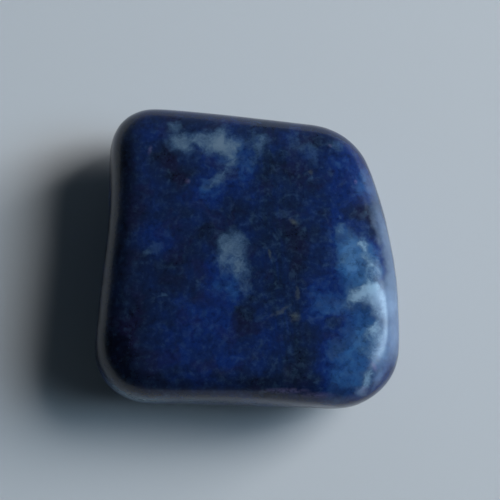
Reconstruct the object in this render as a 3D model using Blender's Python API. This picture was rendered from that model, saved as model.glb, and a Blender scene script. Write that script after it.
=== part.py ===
"""A tumbled and polished sodalite stone: one block with rounded edges, lying on its flattest face.

Run it with blender --background --python part.py, or from the text editor.
Metres, +Z up. The origin is on the surface the stone lies on, under the middle of its outline.
x runs to the right and y away from the front wall.
"""

import math

import bmesh
import bpy
from mathutils import Vector, noise

MM = 0.001

# The stone from the side: its height, and the height at which it is widest, which rises towards the right
# by WIDEST_RISE at WIDEST_REACH from the middle
THICKNESS = 13.0 * MM
WIDEST_AT = 7.4 * MM
WIDEST_RISE = 1.4 * MM
WIDEST_REACH = 14.0 * MM

# Its four walls from above: the way each one faces in degrees from x, how far it stands from the middle,
# and how far it falls back towards its ends, at BOW_REACH from its own middle (less than nought on a wall
# that is worn a little hollow)
WALLS = {
    "right": (12.5, 14.01 * MM, 1.46 * MM),
    "back": (84.1, 13.70 * MM, -0.20 * MM),
    "left": (176.0, 14.29 * MM, -0.49 * MM),
    "front": (268.2, 14.76 * MM, -0.25 * MM),
}
BOW_REACH = 12.0 * MM

# The upright corners, each between one wall above and the next
CORNER_RADII = {
    "right to back": 3.5 * MM,
    "back to left": 5.0 * MM,
    "left to front": 6.6 * MM,
    "front to right": 6.2 * MM,
}

# Walls lean in above and below the widest level, by this much at LEAN_REACH from it
LEAN_ABOVE = 0.45 * MM
LEAN_BELOW = 1.00 * MM
LEAN_REACH = 6.0 * MM

# The upper face: its crown stands this far above its ends, at CROWN_REACH from the middle, and the broad
# shoulder on the right falls away from a line at SHOULDER_START
CROWN_RISE = 0.75 * MM
CROWN_REACH = 14.0 * MM
SHOULDER_FACES = 20.0
SHOULDER_START = 6.5 * MM
SHOULDER_REACH = 7.0 * MM
SHOULDER_DROP = 0.35 * MM
UPPER_EDGE_RADIUS = 2.6 * MM

# The lower face: flat on an oval foot, then rising by BELLY_RISE at twice the foot's own reach
FOOT_REACH_X = 7.4 * MM
FOOT_REACH_Y = 7.0 * MM
BELLY_RISE = 0.70 * MM
LOWER_EDGE_RADIUS = 4.2 * MM

# Shallow hollows worn smooth in the tumbling: a point towards which each lies from the heart of the stone,
# its width across and its depth
HOLLOWS = {
    "hollow on the right shoulder": (Vector((11.1, 2.4, 12.3)) * MM, 4.0 * MM, 0.14 * MM),
    "dimple at the front right": (Vector((10.8, -6.6, 12.4)) * MM, 4.6 * MM, 0.24 * MM),
    "hollow in the back wall": (Vector((-3.5, 14.6, 5.2)) * MM, 5.0 * MM, 0.30 * MM),
    "hollow in the left wall": (Vector((-14.6, 3.0, 5.0)) * MM, 4.6 * MM, 0.22 * MM),
}
HOLLOW_LIP = 0.35 * MM

# Slow waves of the worn surface, which fade out towards the foot
WAVE_HEIGHT = 0.16 * MM
WAVE_LENGTH = 7.5 * MM
WAVE_FADE = (0.4 * MM, 3.0 * MM)

# Squares along each edge of the block that the stone is shaped from
SQUARES_ALONG_X = 28
SQUARES_ALONG_Y = 28
SQUARES_ALONG_Z = 14

# The middle of the stone, from which its surface is found: no part of it is further away than twice the
# reach of the block
HEART = Vector((0.0, 0.0, THICKNESS / 2))
SEARCH_REACH = 2.0
SEARCH_STEPS = 40
NORMAL_STEP = 0.05 * MM

BLUE = (0.012, 0.035, 0.150, 1.0)
POLISH_ROUGHNESS = 0.16
STONE_IOR = 1.48


def rounded_meeting(first, second, radius):
    """How far a point is outside two faces that meet in a rounded edge, from how far it is outside each."""
    if first > -radius and second > -radius:
        return math.hypot(first + radius, second + radius) - radius
    return max(first, second)


def smooth_step(value, start, end):
    """0 before start, 1 after end and an even curve between them."""
    share = min(max((value - start) / (end - start), 0.0), 1.0)
    return share * share * (3.0 - 2.0 * share)


def outside_wall(point, facing, distance, bow):
    """How far the point is outside one wall, as seen from above."""
    turn = math.radians(facing)
    across = point.x * math.cos(turn) + point.y * math.sin(turn)
    along = point.y * math.cos(turn) - point.x * math.sin(turn)
    return across - distance + bow * (along / BOW_REACH) ** 2


def lean_of_walls(point):
    """How far the walls have fallen back at the point's height from where they are widest."""
    height = point.z - WIDEST_AT - WIDEST_RISE * point.x / WIDEST_REACH
    lean = LEAN_ABOVE if height > 0.0 else LEAN_BELOW
    return lean * (height / LEAN_REACH) ** 2


def outside_walls(point):
    """How far the point is outside the ring of walls with their rounded corners."""
    gaps = [outside_wall(point, *wall) for wall in WALLS.values()]
    radii = list(CORNER_RADII.values())
    corners = [
        rounded_meeting(gaps[i], gaps[(i + 1) % len(gaps)], radii[i]) for i in range(len(gaps))
    ]
    return max(corners) + lean_of_walls(point)


def upper_face(point):
    """Height of the upper face at the point's place in plan."""
    crown = CROWN_RISE * (point.x**2 + point.y**2) / CROWN_REACH**2
    turn = math.radians(SHOULDER_FACES)
    towards_shoulder = point.x * math.cos(turn) + point.y * math.sin(turn) - SHOULDER_START
    shoulder = SHOULDER_DROP * (max(towards_shoulder, 0.0) / SHOULDER_REACH) ** 2
    return THICKNESS - crown - shoulder


def lower_face(point):
    """Height of the lower face at the point's place in plan: nothing on the foot."""
    reach = math.hypot(point.x / FOOT_REACH_X, point.y / FOOT_REACH_Y)
    return BELLY_RISE * max(reach - 1.0, 0.0) ** 2


def outside_block(point):
    """How far the point is outside the stone as it was before the hollows. It is negative inside."""
    walls = outside_walls(point)
    upper = rounded_meeting(walls, point.z - upper_face(point), UPPER_EDGE_RADIUS)
    lower = rounded_meeting(walls, lower_face(point) - point.z, LOWER_EDGE_RADIUS)
    wave = WAVE_HEIGHT * noise.noise(point / WAVE_LENGTH)
    return max(upper, lower) + wave * smooth_step(point.z, *WAVE_FADE)


def surface_point(direction, outside_form):
    """Where the ray in this direction from the heart leaves a form."""
    inside, outside = 0.0, SEARCH_REACH
    for _ in range(SEARCH_STEPS):
        middle = (inside + outside) / 2
        if outside_form(HEART + direction * middle) < 0.0:
            inside = middle
        else:
            outside = middle
    return HEART + direction * inside


def facing_out(point):
    """The outward normal of the stone near a point of its surface."""
    here = outside_block(point)
    steps = (Vector((NORMAL_STEP, 0, 0)), Vector((0, NORMAL_STEP, 0)), Vector((0, 0, NORMAL_STEP)))
    return Vector([outside_block(point + step) - here for step in steps]).normalized()


def ball_in_hollow(towards, width, depth):
    """Centre and radius of the ball that fits a hollow of this width and depth."""
    mouth = surface_point(towards - HEART, outside_block)
    radius = ((width / 2) ** 2 + depth**2) / (2 * depth)
    return mouth + facing_out(mouth) * (radius - depth), radius


def outside_stone(point, balls):
    """How far the point is outside the finished stone, which every ball has left a hollow in."""
    gap = outside_block(point)
    for centre, radius in balls:
        gap = rounded_meeting(gap, radius - (point - centre).length, HOLLOW_LIP)
    return gap


def cut_along(block, axis, cuts):
    """Cuts the block's edges that run along one axis into equal lengths."""
    edges = []
    for edge in block.edges:
        run = (edge.verts[0].co - edge.verts[1].co).normalized()
        if round(abs(run[axis])) == 1:
            edges.append(edge)
    bmesh.ops.subdivide_edges(block, edges=edges, cuts=cuts, use_grid_fill=True)


def block_around_stone():
    """A box of the stone's size about its heart, cut into squares."""
    _, half_x, _ = WALLS["right"]
    _, half_y, _ = WALLS["front"]
    block = bmesh.new()
    bmesh.ops.create_cube(block, size=2.0)
    bmesh.ops.scale(block, vec=(half_x, half_y, THICKNESS / 2), verts=block.verts)
    for axis, squares in enumerate((SQUARES_ALONG_X, SQUARES_ALONG_Y, SQUARES_ALONG_Z)):
        cut_along(block, axis, squares - 1)
    return block


def polished_blue():
    """The plain finish of the stone: deep blue with a polish."""
    material = bpy.data.materials.new("polished sodalite")
    material.use_nodes = True
    shader = material.node_tree.nodes["Principled BSDF"]
    shader.inputs["Base Color"].default_value = BLUE
    shader.inputs["Roughness"].default_value = POLISH_ROUGHNESS
    shader.inputs["IOR"].default_value = STONE_IOR
    return material


def centre_outline(mesh):
    """Puts the middle of the mesh's outline over the origin and its foot at height nought."""
    low = [min(vertex.co[axis] for vertex in mesh.vertices) for axis in range(3)]
    high = [max(vertex.co[axis] for vertex in mesh.vertices) for axis in range(3)]
    shift = Vector(((low[0] + high[0]) / 2, (low[1] + high[1]) / 2, low[2]))
    for vertex in mesh.vertices:
        vertex.co -= shift


def tumbled_stone(collection):
    """The stone: a cut block whose every corner is drawn in to the worn surface."""
    balls = [ball_in_hollow(*hollow) for hollow in HOLLOWS.values()]
    block = block_around_stone()
    for vertex in block.verts:
        vertex.co = surface_point(vertex.co.copy(), lambda point: outside_stone(point, balls))
    bmesh.ops.recalc_face_normals(block, faces=block.faces)
    mesh = bpy.data.meshes.new("stone")
    block.to_mesh(mesh)
    block.free()
    centre_outline(mesh)
    mesh.shade_smooth()
    mesh.materials.append(polished_blue())
    stone = bpy.data.objects.new("stone", mesh)
    collection.objects.link(stone)
    return stone


def main():
    for leftover in list(bpy.data.objects):
        bpy.data.objects.remove(leftover)
    collection = bpy.data.collections.new("sodalite stone")
    bpy.context.scene.collection.children.link(collection)
    tumbled_stone(collection)


main()
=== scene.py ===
"""The looks of a tumbled sodalite stone: its fine worn surface, the colours in it, and a studio round it.

Laid out as an add-on and run as a script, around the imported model, in metres with +Z up. Places and sizes in
the tables of marks and dents are in millimetres, in the same frame.
"""

import math
from collections import namedtuple

import bmesh
import bpy
from bpy.props import FloatProperty, FloatVectorProperty, IntProperty, PointerProperty
from mathutils import Matrix, Vector
from mathutils.kdtree import KDTree


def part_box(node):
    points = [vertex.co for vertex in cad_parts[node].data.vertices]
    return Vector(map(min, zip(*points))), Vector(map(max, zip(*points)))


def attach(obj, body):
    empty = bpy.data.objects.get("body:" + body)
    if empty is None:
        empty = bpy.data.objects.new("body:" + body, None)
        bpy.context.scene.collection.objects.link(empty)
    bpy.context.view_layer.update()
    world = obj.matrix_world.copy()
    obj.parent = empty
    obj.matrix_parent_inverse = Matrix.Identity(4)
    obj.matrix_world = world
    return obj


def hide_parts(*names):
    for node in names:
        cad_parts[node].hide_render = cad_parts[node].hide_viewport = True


bl_info = {
    "name": "Tumbled sodalite stone",
    "version": (1, 0, 0),
    "blender": (4, 5, 0),
    "location": "3D View > Sidebar > Sodalite",
    "description": "Models and dresses a tumbled sodalite stone around its packed solid",
    "category": "Object",
}

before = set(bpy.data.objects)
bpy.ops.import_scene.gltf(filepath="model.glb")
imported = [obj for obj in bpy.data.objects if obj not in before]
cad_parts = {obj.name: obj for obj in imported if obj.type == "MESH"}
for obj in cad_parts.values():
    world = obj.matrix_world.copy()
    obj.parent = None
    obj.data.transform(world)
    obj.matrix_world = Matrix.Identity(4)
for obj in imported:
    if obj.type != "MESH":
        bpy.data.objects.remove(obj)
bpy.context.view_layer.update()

MM = 0.001

# A dent in the surface: where it lies, its reach and its depth in millimetres. A depth below nought makes a
# low swelling of it
Dent = namedtuple("Dent", "place reach depth")

DENTS = {
    "right shoulder": Dent((11.2, 1.3, 12.2), 2.0, 0.05),
    "right shoulder, lower end": Dent((12.5, 0.6, 11.7), 1.4, 0.04),
    "lip of the shoulder, back": Dent((13.0, 3.6, 11.5), 1.5, -0.07),
    "lip of the shoulder, middle": Dent((13.3, 1.8, 11.3), 1.3, -0.06),
    "front right dimple": Dent((10.9, -6.8, 12.3), 2.8, 0.05),
    "front edge nick": Dent((1.5, -14.0, 10.9), 0.7, 0.05),
    "back wall chip": Dent((-5.6, 14.2, 8.4), 1.3, 0.08),
    "left wall chip": Dent((-14.2, -4.4, 6.9), 1.1, 0.07),
    "front wall chip": Dent((-6.2, -14.4, 5.0), 1.4, 0.08),
}

# A mark in the stone: where its middle is, how far it reaches along and across and down, its turn about the
# upright in degrees, and its strength
Mark = namedtuple("Mark", "place reach turn strength")

# How much lighter or darker than the main blue the ground is. Most marks are the stone's own tone; the dark
# along the left is partly painted shade, the lower left corner and the arc of the shoulder are painted shade,
# and the steel and pale blues on the right are partly painted light and sheen
TONES = {
    # Darker along the left: the stone's dark ground and painted shade on the side away from the window
    "dark ground and painted shade along the left": Mark((-12.7, 3.3, 11.5), (2.8, 12.5, 6.0), 0, -0.20),
    "dark at the upper left corner": Mark((-11.6, 10.2, 12.0), (2.2, 2.8, 3.0), 0, -0.12),
    "blue at the back left": Mark((-9.3, 12.2, 12.0), (2.6, 1.8, 3.0), 0, 0.12),
    # Painted shade at the lower left corner
    "painted shade at the lower left corner": Mark((-12.8, -9.2, 11.0), (4.8, 7.0, 6.0), 15, -0.27),
    "dark at the front left": Mark((-9.6, -13.2, 11.4), (4.6, 2.4, 4.0), 0, -0.12),
    "dark under the back cloud": Mark((-8.3, 8.9, 12.5), (2.3, 2.6, 3.0), 0, -0.26),
    "dark beside it": Mark((-6.7, 7.2, 12.7), (2.1, 1.8, 3.0), -15, -0.22),
    "royal blue under the cloud": Mark((-3.0, 8.3, 12.8), (4.2, 5.0, 3.0), 0, 0.26),
    "royal blue right of the cloud": Mark((-0.4, 10.8, 12.5), (2.8, 3.8, 3.0), 0, 0.16),
    "blue under the streak": Mark((-3.8, 5.2, 12.8), (2.0, 2.2, 3.0), 0, 0.16),
    "blue beside the band": Mark((0.7, 7.4, 12.8), (1.8, 6.0, 3.0), 0, 0.14),
    "blue at the back of the band": Mark((3.6, 11.0, 12.3), (2.6, 2.2, 3.0), 0, 0.18),
    "violet dark at the back": Mark((6.5, 10.8, 12.2), (1.6, 1.1, 2.5), 0, -0.22),
    "dark in the band, back": Mark((5.8, 6.9, 12.6), (1.5, 3.2, 2.5), 0, -0.12),
    "dark in the band, middle": Mark((4.6, 0.2, 12.9), (1.7, 4.4, 3.0), 0, -0.16),
    "dark in the band, front": Mark((4.6, -10.6, 12.6), (1.3, 3.8, 3.0), 0, -0.20),
    "deep blue at the back right": Mark((9.4, 7.4, 12.0), (3.0, 6.4, 4.0), 0, 0.18),
    # The right slope, turned to the window: the stone's steel blue with painted light on it
    "steel blue and painted light on the right slope": Mark((11.6, 6.8, 11.6), (2.0, 4.4, 4.0), -15, 0.30),
    "blue at the left": Mark((-9.0, 1.0, 12.7), (3.0, 2.6, 3.0), 0, 0.20),
    "dark at the middle left": Mark((-7.1, -1.0, 12.9), (2.2, 1.5, 3.0), 0, -0.16),
    "dark patch under it": Mark((-8.5, -3.6, 12.8), (2.4, 1.8, 3.0), 0, -0.15),
    "dark at the left": Mark((-10.6, -5.8, 12.5), (2.0, 3.4, 3.0), 0, -0.14),
    "dark above the centre cloud": Mark((-3.6, 1.6, 13.0), (2.6, 1.6, 3.0), 15, -0.18),
    "lower left royal blue": Mark((-3.8, -8.8, 12.8), (6.4, 6.4, 4.0), 0, 0.23),
    "dark spot at the front": Mark((-6.5, -12.0, 12.4), (1.3, 1.0, 2.0), 0, -0.20),
    "second dark spot at the front": Mark((-2.7, -12.0, 12.4), (1.2, 0.9, 2.0), 0, -0.16),
    "blue under the centre cloud": Mark((-2.1, -3.3, 12.9), (3.0, 4.2, 3.0), 0, 0.30),
    "dark below the centre": Mark((-0.3, -7.2, 12.9), (1.4, 3.2, 3.0), 0, -0.24),
    "dark at the front edge": Mark((1.4, -13.6, 11.9), (3.2, 1.7, 3.0), 0, -0.22),
    "blue by the thin lines": Mark((2.4, -8.4, 12.8), (2.2, 3.2, 3.0), 0, 0.26),
    "blue right of the band": Mark((6.9, -5.0, 12.8), (3.2, 3.6, 3.0), 0, 0.32),
    "blue at the front": Mark((7.7, -11.6, 12.4), (2.4, 5.4, 3.0), 0, 0.26),
    "blue at the front right edge": Mark((9.9, -13.4, 11.8), (3.6, 2.2, 4.0), 0, 0.20),
    "right blue": Mark((8.8, 0.8, 12.5), (2.4, 5.0, 5.0), 0, 0.31),
    "blue in the front rim, right": Mark((8.0, -14.8, 10.2), (3.4, 1.7, 3.0), 0, 0.34),
    # The pale blues on the right: the stone's paler blue with a painted sheen of the window on it
    "right pale blue": Mark((10.9, -1.6, 12.2), (3.4, 5.6, 5.0), 0, 0.60),
    "front right pale blue": Mark((11.3, -9.6, 11.9), (4.4, 7.0, 5.0), 0, 0.54),
    "dark spot at the dimple": Mark((8.6, -7.0, 12.5), (1.4, 0.9, 2.0), 0, -0.24),
    "blue in the dimple": Mark((11.0, -5.9, 12.5), (1.8, 1.7, 2.0), 0, 0.12),
    # Painted shade in the hollow of the right shoulder
    "painted shade in the arc of the shoulder, upper": Mark((10.9, 3.7, 12.2), (2.6, 1.2, 2.0), -15, -0.18),
    "painted shade in the arc of the shoulder, outer": Mark((12.2, 2.0, 12.0), (1.1, 2.8, 2.0), 15, -0.14),
    "dark grey spot": Mark((-1.0, -6.0, 12.8), (0.7, 0.7, 1.5), 0, -0.20),
}

# Milky clouds in the stone, and a bay or two that they leave out. The marks along the crescent on the right
# are milky cloud with a painted highlight in them
CLOUDS = {
    "back cloud, left part": Mark((-7.2, 10.9, 12.3), (3.0, 2.7, 3.0), 0, 0.42),
    "back cloud, middle": Mark((-5.2, 10.1, 12.4), (3.2, 2.4, 3.0), 0, 0.38),
    "back cloud, right part": Mark((-3.6, 11.5, 12.3), (2.9, 2.6, 3.0), 0, 0.34),
    "back cloud, far right part": Mark((-2.0, 11.0, 12.3), (2.4, 2.2, 2.5), 0, 0.24),
    "back cloud, knot": Mark((-2.1, 10.2, 12.5), (2.2, 1.4, 2.0), 15, 0.44),
    "back cloud, upper left lobe": Mark((-7.2, 12.5, 12.0), (1.5, 1.1, 2.0), 0, 0.28),
    "back cloud, dark bay": Mark((-5.4, 12.7, 12.0), (1.7, 1.1, 2.0), -15, -0.50),
    "blob under the knot": Mark((-1.9, 8.8, 12.7), (1.6, 1.2, 2.0), 0, 0.38),
    "slanting streak": Mark((-3.2, 7.0, 12.8), (2.6, 1.1, 2.0), 45, 0.44),
    "spot below the streak": Mark((-3.9, 4.4, 12.9), (1.1, 1.0, 2.0), 0, 0.34),
    "centre cloud, top": Mark((-1.5, 1.1, 13.0), (2.2, 2.2, 2.5), 0, 0.50),
    "centre cloud, body": Mark((-1.5, -0.7, 13.0), (3.1, 2.9, 2.5), 0, 0.52),
    "centre cloud, lower left": Mark((-2.7, -1.4, 12.9), (1.5, 1.6, 2.5), 0, 0.26),
    "centre cloud, lower right": Mark((-0.5, -2.5, 12.9), (1.8, 2.8, 2.5), 0, 0.42),
    "centre cloud, tail": Mark((-0.2, -4.4, 12.9), (1.6, 2.2, 2.5), 0, 0.24),
    "left spot": Mark((-8.9, 0.1, 12.7), (1.5, 1.3, 2.0), 30, 0.50),
    "left spot, first fleck": Mark((-10.1, -0.5, 12.7), (0.9, 0.8, 1.5), 0, 0.38),
    "left spot, second fleck": Mark((-10.9, -1.5, 12.6), (1.4, 1.3, 1.5), 0, 0.30),
    "patch at the back": Mark((6.0, 9.6, 12.4), (1.8, 1.5, 2.5), 0, 0.44),
    "faint patch at the back": Mark((4.4, 10.9, 12.4), (1.9, 1.9, 2.5), 0, 0.36),
    "small back right cloud": Mark((8.6, 10.3, 11.9), (1.8, 1.1, 2.0), -30, 0.56),
    "shoulder fleck": Mark((8.9, 2.2, 12.5), (1.0, 1.1, 2.0), 0, 0.42),
    "shoulder patch": Mark((10.4, 1.1, 12.4), (2.8, 2.4, 2.5), -45, 0.50),
    "shoulder patch, bright end": Mark((11.1, 0.5, 12.3), (1.3, 1.0, 1.5), -45, 0.32),
    "right patch": Mark((9.5, -0.9, 12.4), (1.4, 1.5, 2.5), 0, 0.30),
    "right patch, outer": Mark((11.9, -1.9, 12.2), (2.1, 3.4, 2.5), 0, 0.64),
    "right patch, lower": Mark((10.2, -3.5, 12.4), (1.9, 2.2, 2.5), 0, 0.30),
    # The crescent: milky cloud and a painted highlight of the window together
    "crescent, tip of the arm": Mark((11.2, -4.1, 12.3), (1.9, 1.5, 2.0), 0, 0.33),
    "crescent, inner arm": Mark((12.1, -4.2, 12.2), (2.4, 1.7, 2.0), 0, 0.40),
    "crescent, bend": Mark((13.1, -5.1, 12.0), (2.2, 2.2, 3.0), 0, 0.50),
    "crescent, upper half": Mark((13.6, -7.0, 11.6), (2.2, 3.2, 3.0), 0, 0.26),
    "crescent, lower half": Mark((13.3, -9.0, 11.7), (2.2, 3.2, 3.0), 0, 0.26),
    "crescent, end": Mark((12.6, -11.2, 12.0), (2.2, 3.0, 2.5), -15, 0.44),
    "crescent, inside": Mark((11.9, -7.0, 12.2), (2.0, 2.6, 2.5), 0, 0.40),
    "spot at the front right corner": Mark((11.5, -13.3, 11.5), (1.6, 1.5, 2.0), 0, 0.62),
    "front right patch": Mark((11.4, -9.2, 12.2), (2.6, 2.7, 2.5), 0, 0.38),
    "patch by the dimple": Mark((9.8, -5.2, 12.5), (2.3, 1.7, 2.5), 15, 0.54),
    "patch below the dimple": Mark((9.1, -9.6, 12.5), (1.2, 1.8, 2.5), 0, 0.32),
    "fleck at the middle left": Mark((-7.2, -1.8, 12.9), (0.7, 0.5, 1.5), 0, 0.40),
    "fleck at the left": Mark((-8.2, -4.8, 12.8), (0.9, 0.45, 1.5), 15, 0.46),
    "fleck in the royal blue": Mark((-6.0, -9.7, 12.7), (0.9, 0.9, 1.5), 0, 0.28),
    "second fleck in the royal blue": Mark((-6.2, -10.8, 12.6), (0.9, 0.6, 1.5), 0, 0.30),
    "third fleck in the royal blue": Mark((-3.3, -9.3, 12.8), (0.9, 0.9, 1.5), 0, 0.28),
    "low grey spot": Mark((-2.4, -12.6, 12.2), (1.2, 0.6, 1.5), -15, 0.36),
    "fleck by the thin lines": Mark((3.1, -9.1, 12.7), (1.0, 1.0, 1.5), 0, 0.34),
    "fleck right of the band": Mark((5.9, -4.2, 12.8), (1.0, 0.8, 1.5), 0, 0.36),
    "veil over the upper middle": Mark((-0.4, 8.8, 12.8), (6.6, 5.4, 3.0), 0, 0.28),
    "drift along the front wall": Mark((-8.0, -14.4, 8.4), (8.5, 2.4, 3.8), 0, 0.62),
    "bay in the front rim": Mark((3.0, -14.8, 10.2), (2.6, 1.5, 2.5), 0, -0.30),
    "drift at the front left corner": Mark((-12.6, -12.4, 7.6), (3.4, 3.4, 3.4), 0, 0.48),
    "drift up the left wall": Mark((-14.6, 2.0, 8.0), (1.8, 6.0, 3.0), 0, 0.34),
    "veil at the middle of the back": Mark((0.8, 10.9, 12.4), (2.8, 2.4, 3.0), 0, 0.32),
    "veil right of the band": Mark((8.0, -1.0, 12.6), (2.0, 3.0, 2.5), 0, 0.32),
    "veil by the thin lines": Mark((3.2, -6.4, 12.8), (2.8, 3.0, 3.0), 0, 0.24),
}

# A thin even pale sheen painted along the right rim, through the crescent and at the front right corner: a
# painted reflection along the rim and a painted highlight through the crescent
PAINTED_SHEEN_MARKS = {
    "crescent, inner arm": Mark((12.2, -4.4, 12.2), (2.0, 1.7, 2.0), 0, 0.28),
    "crescent, bend": Mark((13.2, -5.3, 12.0), (1.9, 2.2, 3.0), 0, 0.42),
    "crescent, lower part": Mark((13.4, -8.6, 11.6), (1.9, 4.6, 3.0), 0, 0.40),
    "crescent, end": Mark((12.6, -11.2, 12.0), (1.7, 2.2, 2.5), -15, 0.22),
    "spot at the front right corner": Mark((11.2, -13.7, 11.4), (1.0, 0.9, 2.0), 0, 0.42),
    "streak beside the spot": Mark((12.7, -12.8, 11.4), (0.8, 1.4, 2.0), -15, 0.30),
    "back end": Mark((12.6, 5.4, 11.2), (1.4, 4.0, 3.0), 15, 0.22),
    "by the shoulder": Mark((13.6, 1.2, 11.0), (1.5, 4.0, 3.0), 15, 0.44),
    "by the crescent": Mark((14.3, -3.4, 10.8), (1.9, 4.0, 3.0), 0, 0.54),
    "widest part": Mark((14.8, -7.6, 10.2), (2.2, 4.4, 3.0), 0, 0.48),
}

# Small pink and violet marks
PINK_MARKS = {
    "streak along the front edge": Mark((3.6, -13.7, 11.6), (3.0, 0.36, 1.2), 0, 0.60),
    "streak along the front edge, right part": Mark((6.7, -14.1, 11.3), (2.4, 0.42, 1.2), 0, 0.40),
    "spot by the right rim": Mark((12.3, -11.4, 11.9), (0.40, 0.75, 1.0), 30, 0.40),
    "spot at the front right corner": Mark((11.3, -13.6, 11.4), (0.60, 0.60, 1.0), 30, 0.46),
    "fleck under the back cloud": Mark((-5.9, 6.7, 12.7), (0.40, 0.36, 0.6), 0, 0.22),
    "fleck at the upper left": Mark((-9.6, 9.9, 12.4), (0.28, 0.70, 0.8), -15, 0.24),
    "fleck at the right slope": Mark((10.6, 6.9, 12.2), (0.30, 0.36, 0.6), 0, 0.34),
    "fleck in the small back right cloud": Mark((8.1, 10.5, 11.9), (0.30, 0.26, 0.6), 0, 0.60),
}

# Thin yellowish and teal lines and spots along the band
OCHRE_MARKS = {
    "ochre fleck": Mark((4.5, -6.7, 12.8), (0.80, 0.80, 1.0), 0, 0.36),
    "line above it": Mark((4.8, -4.3, 12.8), (0.36, 1.0, 1.0), 0, 0.28),
    "thin line to the left": Mark((3.0, -6.2, 12.8), (1.7, 0.30, 1.0), 30, 0.24),
    "fleck at the band's middle": Mark((4.4, 2.7, 12.9), (0.46, 0.70, 0.8), 45, 0.34),
    "thread in the band": Mark((2.1, -0.5, 12.9), (0.22, 0.70, 0.8), 0, 0.26),
    "teal patch": Mark((3.8, -12.2, 12.5), (0.6, 1.3, 2.0), 0, 0.07),
    "fleck at the back of the band": Mark((6.2, 7.7, 12.6), (0.32, 0.42, 0.8), 0, 0.30),
}

# The dark band that crosses the stone: its middle line, lean and half width
BAND_MIDDLE = (3.1, 0.0, 0.0)
BAND_LEAN = 6.0
BAND_HALF_WIDTH = 2.6

# Tones run past 1 and a ramp ends there, so both are held to this scale
RAMP_SCALE = 0.75

# Where the noise of the violet drifts is read, so that they lie apart from the blue mottling
VIOLET_SHIFT = (31.0, 17.0, 5.0)

# Where the window stands: its direction from +x towards +y, its height over the horizon and its distance
WINDOW_AZIMUTH = math.radians(22)
WINDOW_ELEVATION = math.radians(37)
WINDOW_DISTANCE = 0.6

# The patch of bright sky: where its middle stands, how far it spreads across and along, as sines, and how far
# its upper end leans to the front
SKY_AZIMUTH = math.radians(2)
SKY_ELEVATION = math.radians(39)
SKY_HALF_WIDTH = 0.30
SKY_HALF_HEIGHT = 0.48
SKY_LEAN = math.radians(33)
SKY_STRENGTH = 8.6
SKY_COLOUR = (0.58, 0.80, 1.0, 1.0)

# The room behind the floor as the camera sees it
BACKDROP_STRENGTH = 0.8
BACKDROP_COLOUR = (0.80, 0.92, 1.0, 1.0)

# Where the camera looks: the middle of the photograph
LOOKED_AT = Vector((0.42, 1.17, 6.0)) * MM

# Points lower than this belong to the flat foot
FOOT_DEPTH = 0.06 * MM

STONE_IOR = 1.48

FLOOR_SIZE = 4.0
FLOOR_DROP = 0.02 * MM


class StoneSettings(bpy.types.PropertyGroup):
    """Sizes and colours of the stone."""

    squares_along: IntProperty(
        name="Squares along", description="Squares along each side of the block it is cut from",
        default=20, min=4)
    squares_up: IntProperty(
        name="Squares up", description="Squares up each wall of the block", default=9, min=2)
    roundings: IntProperty(
        name="Roundings", description="Times that the squares are divided", default=3, min=1)
    swell_depth: FloatProperty(
        name="Swell depth", description="Depth of the slow waves of the surface", default=0.05 * MM,
        unit="LENGTH")
    ripple_depth: FloatProperty(
        name="Ripple depth", description="Depth of the fine ripples of the polish", default=0.010 * MM,
        unit="LENGTH")
    night: FloatVectorProperty(
        name="Night", description="Blackest blue", subtype="COLOR", size=4,
        default=(0.0026, 0.0032, 0.0110, 1))
    navy: FloatVectorProperty(
        name="Navy", description="Dark ground of the stone", subtype="COLOR", size=4,
        default=(0.0062, 0.0122, 0.036, 1))
    deep_blue: FloatVectorProperty(
        name="Deep blue", description="Main blue of the stone", subtype="COLOR", size=4,
        default=(0.0064, 0.0155, 0.059, 1))
    royal_blue: FloatVectorProperty(
        name="Royal blue", description="Bright blue of the stone", subtype="COLOR", size=4,
        default=(0.0056, 0.0195, 0.106, 1))
    # The pale and steel blues show mostly on the right side, partly the stone's own blue and partly painted
    # light and sheen
    pale_blue: FloatVectorProperty(
        name="Pale blue", description="Steel blue of the right side", subtype="COLOR", size=4,
        default=(0.024, 0.090, 0.240, 1))
    steel_blue: FloatVectorProperty(
        name="Steel blue", description="Palest blue of the right side", subtype="COLOR", size=4,
        default=(0.075, 0.185, 0.370, 1))
    violet: FloatVectorProperty(
        name="Violet", description="Dark violet of the drifts in the ground", subtype="COLOR", size=4,
        default=(0.0125, 0.0105, 0.0420, 1))
    band: FloatVectorProperty(
        name="Band", description="Green black of the dark band", subtype="COLOR", size=4,
        default=(0.0052, 0.0110, 0.0240, 1))
    milk: FloatVectorProperty(
        name="Milk", description="Grey blue of the thin clouds", subtype="COLOR", size=4,
        default=(0.050, 0.105, 0.185, 1))
    cream: FloatVectorProperty(
        name="Cream", description="Grey of the thickest clouds", subtype="COLOR", size=4,
        default=(0.135, 0.195, 0.260, 1))
    # Thick clouds on the right take this pale blue, partly the clouds' own colour and partly painted highlight
    # and sheen
    cream_and_painted_sheen: FloatVectorProperty(
        name="Sky cream", description="Pale blue of the thick clouds on the right", subtype="COLOR", size=4,
        default=(0.310, 0.480, 0.640, 1))
    # Painted sheen: the pale grey blue laid on the right rim and the crescent as painted reflection and
    # highlight
    painted_sheen: FloatVectorProperty(
        name="Haze", description="Pale grey blue of the haze on the right", subtype="COLOR", size=4,
        default=(0.205, 0.295, 0.440, 1))
    pink: FloatVectorProperty(
        name="Pink", description="Violet pink of the small streaks", subtype="COLOR", size=4,
        default=(0.16, 0.14, 0.27, 1))
    ochre: FloatVectorProperty(
        name="Ochre", description="Grey yellow of the thin lines", subtype="COLOR", size=4,
        default=(0.100, 0.120, 0.100, 1))


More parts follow.
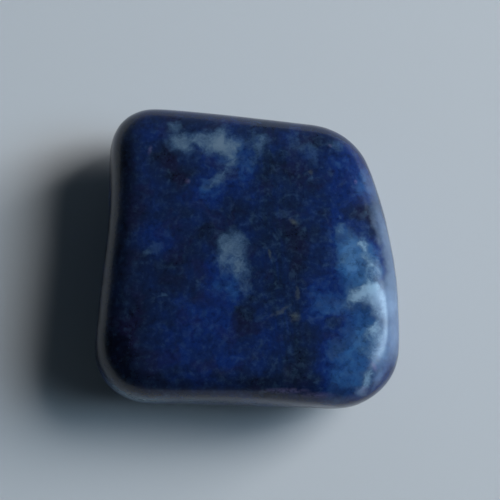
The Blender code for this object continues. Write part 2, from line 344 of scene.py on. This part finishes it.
class StudioSettings(bpy.types.PropertyGroup):
    """Camera, lights and floor."""

    camera_azimuth: FloatProperty(
        name="Camera azimuth", description="Where the camera stands, from the front towards the right",
        default=math.radians(-10), subtype="ANGLE")
    camera_elevation: FloatProperty(
        name="Camera elevation", description="How high the camera looks from", default=math.radians(79),
        subtype="ANGLE")
    camera_distance: FloatProperty(
        name="Camera distance", description="From the stone's middle", default=0.2200, unit="LENGTH")
    lens: FloatProperty(name="Lens", description="Focal length", default=158.0, unit="CAMERA")
    window_power: FloatProperty(
        name="Window power", description="Power of the main light", default=3.95, unit="POWER")
    window_width: FloatProperty(
        name="Window width", description="Width of the main light", default=0.25, unit="LENGTH")
    window_height: FloatProperty(
        name="Window height", description="Height of the main light", default=0.50, unit="LENGTH")
    floor_colour: FloatVectorProperty(
        name="Floor colour", description="Pale floor", subtype="COLOR", size=4,
        default=(0.54, 0.56, 0.58, 1))


def take_up(piece):
    """Makes the piece the only selected object, and the active one."""
    bpy.ops.object.select_all(action="DESELECT")
    piece.select_set(True)
    bpy.context.view_layer.objects.active = piece


def apply_modifier(piece, kind, **settings):
    """Gives the piece a modifier with these settings and applies it."""
    take_up(piece)
    modifier = piece.modifiers.new(kind.title(), kind)
    for name, value in settings.items():
        setattr(modifier, name, value)
    bpy.ops.object.modifier_apply(modifier=modifier.name)


def smooth_form():
    """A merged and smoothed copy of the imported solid, for the fine block to be drawn on to."""
    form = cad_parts["stone"].copy()
    form.data = form.data.copy()
    form.parent = None
    bpy.context.collection.objects.link(form)
    take_up(form)
    bpy.ops.object.mode_set(mode="EDIT")
    bpy.ops.mesh.select_all(action="SELECT")
    bpy.ops.mesh.remove_doubles(threshold=0.001 * MM)
    bpy.ops.mesh.tris_convert_to_quads()
    bpy.ops.object.mode_set(mode="OBJECT")
    apply_modifier(form, "SUBSURF", levels=2, render_levels=2)
    return form


def cut_edges_along(piece, axis, squares):
    """Cuts the block's edges that run along one axis into this many equal lengths."""
    bpy.ops.mesh.select_all(action="DESELECT")
    block = bmesh.from_edit_mesh(piece.data)
    for edge in block.edges:
        run = (edge.verts[0].co - edge.verts[1].co).normalized()
        edge.select_set(round(abs(run[axis])) == 1)
    bmesh.update_edit_mesh(piece.data)
    bpy.ops.mesh.subdivide(number_cuts=squares - 1)


def block_of_squares(settings):
    """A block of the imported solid's size and place, cut into squares and rounded off."""
    low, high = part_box("stone")
    bpy.ops.object.select_all(action="DESELECT")
    bpy.ops.mesh.primitive_cube_add(size=1, location=(low + high) / 2, scale=high - low)
    block = bpy.context.object
    block.name = "tumbled_stone"
    bpy.ops.object.transform_apply(location=True, rotation=True, scale=True)
    bpy.ops.object.mode_set(mode="EDIT")
    bpy.ops.mesh.select_mode(type="EDGE")
    for axis, squares in enumerate((settings.squares_along, settings.squares_along, settings.squares_up)):
        cut_edges_along(block, axis, squares)
    bpy.ops.object.mode_set(mode="OBJECT")
    apply_modifier(block, "SUBSURF", levels=settings.roundings, render_levels=settings.roundings)
    return block


def press_dents(stone):
    """Presses each dent into the surface, or swells it, like a thumb with a soft edge."""
    take_up(stone)
    bpy.ops.object.mode_set(mode="EDIT")
    bpy.ops.mesh.select_mode(type="VERT")
    mesh = bmesh.from_edit_mesh(stone.data)
    mesh.verts.ensure_lookup_table()
    finder = KDTree(len(mesh.verts))
    for vertex in mesh.verts:
        finder.insert(vertex.co, vertex.index)
    finder.balance()
    for dent in DENTS.values():
        bpy.ops.mesh.select_all(action="DESELECT")
        _, index, _ = finder.find(Vector(dent.place) * MM)
        vertex = mesh.verts[index]
        vertex.select_set(True)
        bmesh.update_edit_mesh(stone.data)
        bpy.ops.transform.translate(
            value=vertex.normal * -dent.depth * MM, use_proportional_edit=True,
            proportional_edit_falloff="SMOOTH", proportional_size=dent.reach * MM)
    bpy.ops.object.mode_set(mode="OBJECT")


def roll_surface(stone, name, length, depth):
    """Presses slow waves of this length and depth into the surface, inwards only."""
    waves = bpy.data.textures.new(name, "CLOUDS")
    waves.noise_scale = length
    waves.noise_depth = 1
    apply_modifier(stone, "DISPLACE", texture=waves, texture_coords="LOCAL", strength=depth, mid_level=1.0)


def level_foot(stone):
    """Presses the foot flat again, on to the level that the stone lies on."""
    take_up(stone)
    bpy.ops.object.mode_set(mode="EDIT")
    bpy.ops.mesh.select_all(action="DESELECT")
    mesh = bmesh.from_edit_mesh(stone.data)
    for vertex in mesh.verts:
        vertex.select_set(vertex.co.z < FOOT_DEPTH)
    bmesh.update_edit_mesh(stone.data)
    bpy.ops.transform.resize(value=(1, 1, 0), center_override=(0, 0, 0))
    bpy.ops.object.mode_set(mode="OBJECT")


class Recipe:
    """The nodes of a material or a world, added and joined by short words."""

    def __init__(self, owner, shader):
        owner.use_nodes = True
        self.owner = owner
        self.tree = owner.node_tree
        self.shader = self.tree.nodes[shader]

    def feed(self, socket, value):
        """Joins another node's output to the socket, or sets the socket's own value."""
        if isinstance(value, bpy.types.NodeSocket):
            self.tree.links.new(value, socket)
        else:
            socket.default_value = value

    def node(self, kind, inputs, **settings):
        """A new node with these settings, its inputs fed by number or by name."""
        made = self.tree.nodes.new(kind)
        for name, value in settings.items():
            setattr(made, name, value)
        for socket, value in inputs.items():
            self.feed(made.inputs[socket], value)
        return made

    def maths(self, operation, first, second=0.0, third=0.0):
        return self.node("ShaderNodeMath", {0: first, 1: second, 2: third}, operation=operation).outputs[0]

    def vector(self, operation, inputs, output=0):
        return self.node("ShaderNodeVectorMath", inputs, operation=operation).outputs[output]

    def measure(self, place, axis):
        """How far the place lies along one axis."""
        return self.node("ShaderNodeSeparateXYZ", {0: place}).outputs[axis]

    def stretch(self, place, scale, turn=0.0, location=(0, 0, 0)):
        """The place measured from here, turned about the upright, and in these lengths."""
        inputs = {
            "Vector": place, "Location": location, "Rotation": (0, 0, math.radians(turn)), "Scale": scale}
        return self.node("ShaderNodeMapping", inputs, vector_type="TEXTURE").outputs[0]

    def noise(self, place, length, detail=4.0, roughness=0.55, output=0):
        """Noise whose lumps have about this length."""
        inputs = {"Vector": place, "Scale": 1 / length, "Detail": detail, "Roughness": roughness}
        return self.node("ShaderNodeTexNoise", inputs).outputs[output]

    def drift(self, place, length, reach, detail=3.0):
        """The place pushed about by noise, by about this reach."""
        push = self.noise(place, length, detail=detail, output=1)
        push = self.vector("SUBTRACT", {0: push, 1: (0.5, 0.5, 0.5)})
        push = self.vector("SCALE", {0: push, "Scale": reach})
        return self.vector("ADD", {0: place, 1: push})

    def spread(self, value, low, high, to_low=0.0, to_high=1.0):
        """A smooth step of the value from one number to another."""
        inputs = {"Value": value, "From Min": low, "From Max": high, "To Min": to_low, "To Max": to_high}
        return self.node("ShaderNodeMapRange", inputs, interpolation_type="SMOOTHSTEP").outputs[0]

    def blend(self, share, first, second):
        """The first colour with this share of the second."""
        return self.node("ShaderNodeMix", {0: share, 6: first, 7: second}, data_type="RGBA").outputs[2]

    def ramp(self, value, stops):
        """A colour for each value, from stops of value and colour."""
        made = self.node("ShaderNodeValToRGB", {0: value})
        elements = made.color_ramp.elements
        while len(elements) < len(stops):
            elements.new(0.5)
        for element, (at, colour) in zip(elements, stops):
            element.position = at
            element.color = colour
        return made.outputs[0]

    def marks(self, place, marks):
        """The strengths of all the marks in one table, added up. The place is turned once for each turn."""
        total = 0.0
        turned = {0: place}
        for mark in marks.values():
            back = -math.radians(mark.turn)
            if mark.turn not in turned:
                turned[mark.turn] = self.node(
                    "ShaderNodeMapping", {"Vector": place, "Rotation": (0, 0, back)}).outputs[0]
            shrink = Vector([1 / reach for reach in mark.reach])
            middle = Matrix.Rotation(back, 3, "Z") @ Vector(mark.place)
            here = self.vector("MULTIPLY_ADD", {0: turned[mark.turn], 1: shrink, 2: -middle * shrink})
            away = self.vector("LENGTH", {0: here}, output="Value")
            total = self.maths("ADD", self.spread(away, 1.0, 0.15, 0.0, mark.strength), total)
        return total


def wall_tone(recipe, place, soft_place):
    """Broad lighter and darker drifts of the ground round the walls and underneath."""
    drifts = recipe.spread(recipe.noise(soft_place, 5.5, detail=3.0), 0.36, 0.64, -0.10, 0.34)
    return recipe.maths("MULTIPLY", drifts, recipe.spread(recipe.measure(place, "Z"), 11.0, 8.5))


def ground_colour(recipe, settings, place, soft_place):
    """The mottled blue ground with its dark band, with painted shade at the left, at the lower left corner and
    in the shoulder's arc, and painted light and sheen in the pale blues on the right.
    """
    mottle = recipe.noise(soft_place, 2.2, detail=5.0, roughness=0.58)
    tone = recipe.maths("MULTIPLY_ADD", mottle, 0.80, -0.04)
    tone = recipe.maths("ADD", tone, recipe.marks(soft_place, TONES))
    tone = recipe.maths("ADD", tone, wall_tone(recipe, place, soft_place))
    tone = recipe.maths("MULTIPLY", tone, RAMP_SCALE)
    ground = recipe.ramp(tone, [
        (at * RAMP_SCALE, colour) for at, colour in (
            (0.02, settings.night), (0.21, settings.navy), (0.36, settings.deep_blue),
            (0.60, settings.royal_blue), (0.92, settings.pale_blue), (1.25, settings.steel_blue))])

    drifts = recipe.noise(recipe.vector("ADD", {0: soft_place, 1: VIOLET_SHIFT}), 2.6, detail=3.0)
    ground = recipe.blend(recipe.spread(drifts, 0.50, 0.66, 0.0, 0.36), ground, settings.violet)

    across = recipe.stretch(soft_place, (BAND_HALF_WIDTH, 1, 1), BAND_LEAN, BAND_MIDDLE)
    across = recipe.maths("ABSOLUTE", recipe.measure(across, "X"))
    fibres = recipe.noise(recipe.stretch(place, (0.45, 3.0, 2.0), BAND_LEAN), 1.0, detail=4.0, roughness=0.6)
    band = recipe.maths(
        "MULTIPLY", recipe.spread(across, 1.2, 0.2), recipe.spread(fibres, 0.66, 0.34, 0.10, 0.62))
    return recipe.blend(band, ground, settings.band)


def cloud_share(recipe, place, soft_place, grain):
    """How milky the stone is: where the placed clouds are, those along the crescent on the right carrying a
    painted highlight too, and in drifts round the walls and underneath.
    """
    billow = recipe.noise(soft_place, 1.5, detail=7.0, roughness=0.66)
    elsewhere = recipe.noise(soft_place, 7.0, detail=3.0)
    elsewhere = recipe.maths(
        "MULTIPLY", recipe.spread(elsewhere, 0.50, 0.68, 0.0, 0.62),
        recipe.spread(recipe.measure(place, "Z"), 10.5, 7.5))
    share = recipe.maths("ADD", recipe.marks(soft_place, CLOUDS), elsewhere)
    share = recipe.maths("MULTIPLY_ADD", billow, 1.0, share)
    share = recipe.maths("MULTIPLY_ADD", grain, 0.30, share)
    return recipe.spread(share, 0.72, 1.90)


def sodalite(settings):
    """Polished sodalite: mottled deep blue with a dark band, wisps, pale clouds, thin lines and flecks, with a
    painted highlight and sheen on the right and painted shade at the left, at the lower left corner and in the
    shoulder's arc.
    """
    recipe = Recipe(bpy.data.materials.new("polished sodalite"), "Principled BSDF")
    place = recipe.stretch(recipe.node("ShaderNodeTexCoord", {}).outputs["Object"], (MM, MM, MM))
    soft_place = recipe.drift(recipe.drift(place, 2.8, 1.8), 0.9, 1.1)
    grain = recipe.noise(place, 0.55, detail=4.0, roughness=0.7)

    colour = ground_colour(recipe, settings, place, soft_place)
    colour = recipe.blend(recipe.spread(grain, 0.50, 0.30, 0.0, 0.40), colour, settings.night)
    colour = recipe.blend(recipe.spread(grain, 0.50, 0.72, 0.0, 0.16), colour, settings.milk)
    side = recipe.measure(place, "X")
    wisps = recipe.noise(soft_place, 1.0, detail=4.0, roughness=0.6)
    colour = recipe.blend(recipe.spread(wisps, 0.50, 0.34, 0.0, 0.32), colour, settings.navy)
    # Pale wisps, more of them towards the right: the stone's own wisps and painted light on the side turned to
    # the window
    pale = recipe.maths(
        "MULTIPLY", recipe.spread(wisps, 0.51, 0.70), recipe.spread(side, -6.0, 3.0, 0.08, 0.20))
    colour = recipe.blend(pale, colour, settings.milk)

    clouds = cloud_share(recipe, place, soft_place, grain)
    # Thick clouds are cream, and on the right pale sky blue, which is partly painted highlight and sheen
    thick = recipe.blend(recipe.spread(side, 8.0, 12.5), settings.cream, settings.cream_and_painted_sheen)
    milk = recipe.blend(recipe.spread(clouds, 0.25, 1.0), settings.milk, thick)
    colour = recipe.blend(recipe.spread(clouds, 0.0, 0.75, 0.0, 0.92), colour, milk)

    broken = recipe.spread(grain, 0.30, 0.60)
    # Painted sheen on the right: painted reflection along the rim and painted highlight through the crescent
    colour = recipe.blend(recipe.marks(soft_place, PAINTED_SHEEN_MARKS), colour, settings.painted_sheen)
    pink = recipe.maths("MULTIPLY", recipe.marks(place, PINK_MARKS), broken)
    colour = recipe.blend(pink, colour, settings.pink)
    ochre = recipe.maths("MULTIPLY", recipe.marks(recipe.drift(place, 0.9, 0.7), OCHRE_MARKS), broken)
    colour = recipe.blend(ochre, colour, settings.ochre)

    flecks = recipe.node("ShaderNodeTexVoronoi", {"Vector": soft_place, "Scale": 1 / 1.3}).outputs
    chosen = recipe.node("ShaderNodeSeparateColor", {0: flecks["Color"]}).outputs["Red"]
    dot = recipe.maths(
        "MULTIPLY", recipe.spread(flecks["Distance"], 0.26, 0.04), recipe.spread(chosen, 0.60, 1.0))
    colour = recipe.blend(recipe.maths("MULTIPLY", dot, 0.24), colour, settings.milk)

    recipe.feed(recipe.shader.inputs["Base Color"], colour)
    dull = recipe.spread(recipe.noise(place, 1.2, detail=5.0, roughness=0.65), 0.35, 0.70, 0.14, 0.24)
    dull = recipe.maths("ADD", dull, recipe.spread(recipe.measure(place, "Z"), 10.5, 6.5, 0.0, 0.16))
    recipe.feed(recipe.shader.inputs["Roughness"], dull)
    recipe.shader.inputs["IOR"].default_value = STONE_IOR
    skin = recipe.noise(place, 0.45, detail=4.0, roughness=0.6)
    bump = recipe.node("ShaderNodeBump", {"Height": skin, "Strength": 0.3, "Distance": 0.010 * MM})
    recipe.feed(recipe.shader.inputs["Normal"], bump.outputs["Normal"])
    return recipe.owner


class SODALITE_OT_stone(bpy.types.Operator):
    """Models the stone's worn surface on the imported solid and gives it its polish"""

    bl_idname = "sodalite.stone"
    bl_label = "Tumbled stone"

    def execute(self, context):
        settings = context.scene.sodalite_stone
        form = smooth_form()
        stone = block_of_squares(settings)
        apply_modifier(stone, "SHRINKWRAP", target=form, wrap_method="NEAREST_SURFACEPOINT")
        apply_modifier(stone, "SMOOTH", factor=0.5, iterations=8)
        bpy.data.objects.remove(form)
        press_dents(stone)
        roll_surface(stone, "slow swell", 3.0 * MM, settings.swell_depth)
        roll_surface(stone, "fine ripple", 0.9 * MM, settings.ripple_depth)
        level_foot(stone)
        stone.data.shade_smooth()
        stone.data.materials.append(sodalite(settings))
        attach(stone, "root")
        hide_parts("stone")
        return {"FINISHED"}


def add_camera(context, settings):
    """The camera at the photograph's viewing angle, with the stone's back wall at the top of the picture."""
    around, up = settings.camera_azimuth, settings.camera_elevation
    back = Vector((math.sin(around) * math.cos(up), -math.cos(around) * math.cos(up), math.sin(up)))
    right = Vector((0, 1, 0)).cross(back).normalized()
    bpy.ops.object.camera_add(location=LOOKED_AT + back * settings.camera_distance)
    camera = context.object
    camera.rotation_euler = Matrix((right, back.cross(right), back)).transposed().to_euler()
    camera.data.lens = settings.lens
    camera.data.clip_start = 0.01
    camera.data.clip_end = 10.0
    context.scene.camera = camera


def add_floor(settings):
    """A wide pale floor under the stone."""
    bpy.ops.mesh.primitive_plane_add(size=FLOOR_SIZE, location=(0, 0, -FLOOR_DROP))
    floor = bpy.context.object
    floor.name = "floor"
    recipe = Recipe(bpy.data.materials.new("pale floor"), "Principled BSDF")
    recipe.shader.inputs["Base Color"].default_value = settings.floor_colour
    recipe.shader.inputs["Roughness"].default_value = 0.85
    floor.data.materials.append(recipe.owner)


def towards_light(azimuth, elevation):
    """The direction of a light from the stone."""
    level = math.cos(elevation)
    return Vector((math.cos(azimuth) * level, math.sin(azimuth) * level, math.sin(elevation)))


def add_window(settings):
    """A tall soft light to the right of the stone."""
    away = towards_light(WINDOW_AZIMUTH, WINDOW_ELEVATION)
    bpy.ops.object.light_add(type="AREA", location=away * WINDOW_DISTANCE)
    window = bpy.context.object
    window.name = "window"
    window.rotation_euler = away.to_track_quat("Z", "Y").to_euler()
    window.data.shape = "RECTANGLE"
    window.data.size = settings.window_width
    window.data.size_y = settings.window_height
    window.data.energy = settings.window_power
    window.data.color = (0.96, 0.97, 0.98)
    window.visible_camera = False
    window.visible_glossy = False


def add_room(context):
    """Light from the room: dim overhead, paler at the back and low down, most of all on the right, and a
    patch of soft bright sky."""
    recipe = Recipe(bpy.data.worlds.new("room"), "Background")
    context.scene.world = recipe.owner
    way = recipe.node("ShaderNodeTexCoord", {}).outputs["Generated"]
    parts = recipe.node("ShaderNodeSeparateXYZ", {0: way}).outputs
    middle = towards_light(SKY_AZIMUTH, SKY_ELEVATION)
    beside = Matrix.Rotation(SKY_LEAN, 3, middle) @ Vector((0, 0, 1)).cross(middle).normalized()
    aside, above, ahead = (
        recipe.vector("DOT_PRODUCT", {0: way, 1: axis}, output="Value")
        for axis in (beside / SKY_HALF_WIDTH, middle.cross(beside) / SKY_HALF_HEIGHT, middle))
    from_middle = recipe.vector("LENGTH", {0: recipe.node(
        "ShaderNodeCombineXYZ", {"X": aside, "Y": above}).outputs[0]}, output="Value")
    sky = recipe.spread(from_middle, 1.0, 0.1, 0.0, SKY_STRENGTH)
    sky = recipe.maths("MULTIPLY", sky, recipe.maths("GREATER_THAN", ahead, 0.0))
    light = recipe.maths("ADD", recipe.spread(parts["Y"], 0.1, 0.9, 0.015, 0.12), sky)
    low = recipe.maths(
        "MULTIPLY", recipe.spread(parts["Z"], 0.30, 0.0), recipe.spread(parts["X"], 0.2, 1.0, 0.12, 0.9))
    light = recipe.maths("ADD", light, low)
    seen = recipe.node("ShaderNodeLightPath", {}).outputs["Is Camera Ray"]
    light = recipe.node("ShaderNodeMix", {0: seen, 2: light, 3: BACKDROP_STRENGTH}).outputs[0]
    recipe.feed(recipe.shader.inputs["Strength"], light)
    recipe.feed(recipe.shader.inputs["Color"], recipe.blend(seen, SKY_COLOUR, BACKDROP_COLOUR))


class SODALITE_OT_studio(bpy.types.Operator):
    """Adds the camera, the pale floor and the soft light"""

    bl_idname = "sodalite.studio"
    bl_label = "Studio"

    def execute(self, context):
        settings = context.scene.sodalite_studio
        add_camera(context, settings)
        add_floor(settings)
        add_window(settings)
        add_room(context)
        context.scene.view_settings.view_transform = "Standard"
        return {"FINISHED"}


class SODALITE_PT_panel(bpy.types.Panel):
    """Lists the stone's settings and the steps that make it"""

    bl_label = "Sodalite stone"
    bl_idname = "SODALITE_PT_panel"
    bl_space_type = "VIEW_3D"
    bl_region_type = "UI"
    bl_category = "Sodalite"

    def draw(self, context):
        for settings, operator in (
            (context.scene.sodalite_stone, SODALITE_OT_stone),
            (context.scene.sodalite_studio, SODALITE_OT_studio),
        ):
            box = self.layout.box()
            for name in settings.__annotations__:
                box.prop(settings, name)
            box.operator(operator.bl_idname)


CLASSES = (StoneSettings, StudioSettings, SODALITE_OT_stone, SODALITE_OT_studio, SODALITE_PT_panel)


def register():
    for kind in CLASSES:
        bpy.utils.register_class(kind)
    bpy.types.Scene.sodalite_stone = PointerProperty(type=StoneSettings)
    bpy.types.Scene.sodalite_studio = PointerProperty(type=StudioSettings)


def unregister():
    del bpy.types.Scene.sodalite_studio
    del bpy.types.Scene.sodalite_stone
    for kind in reversed(CLASSES):
        bpy.utils.unregister_class(kind)


def main():
    register()
    bpy.ops.sodalite.stone()
    bpy.ops.sodalite.studio()


if __name__ == "__main__":
    main()
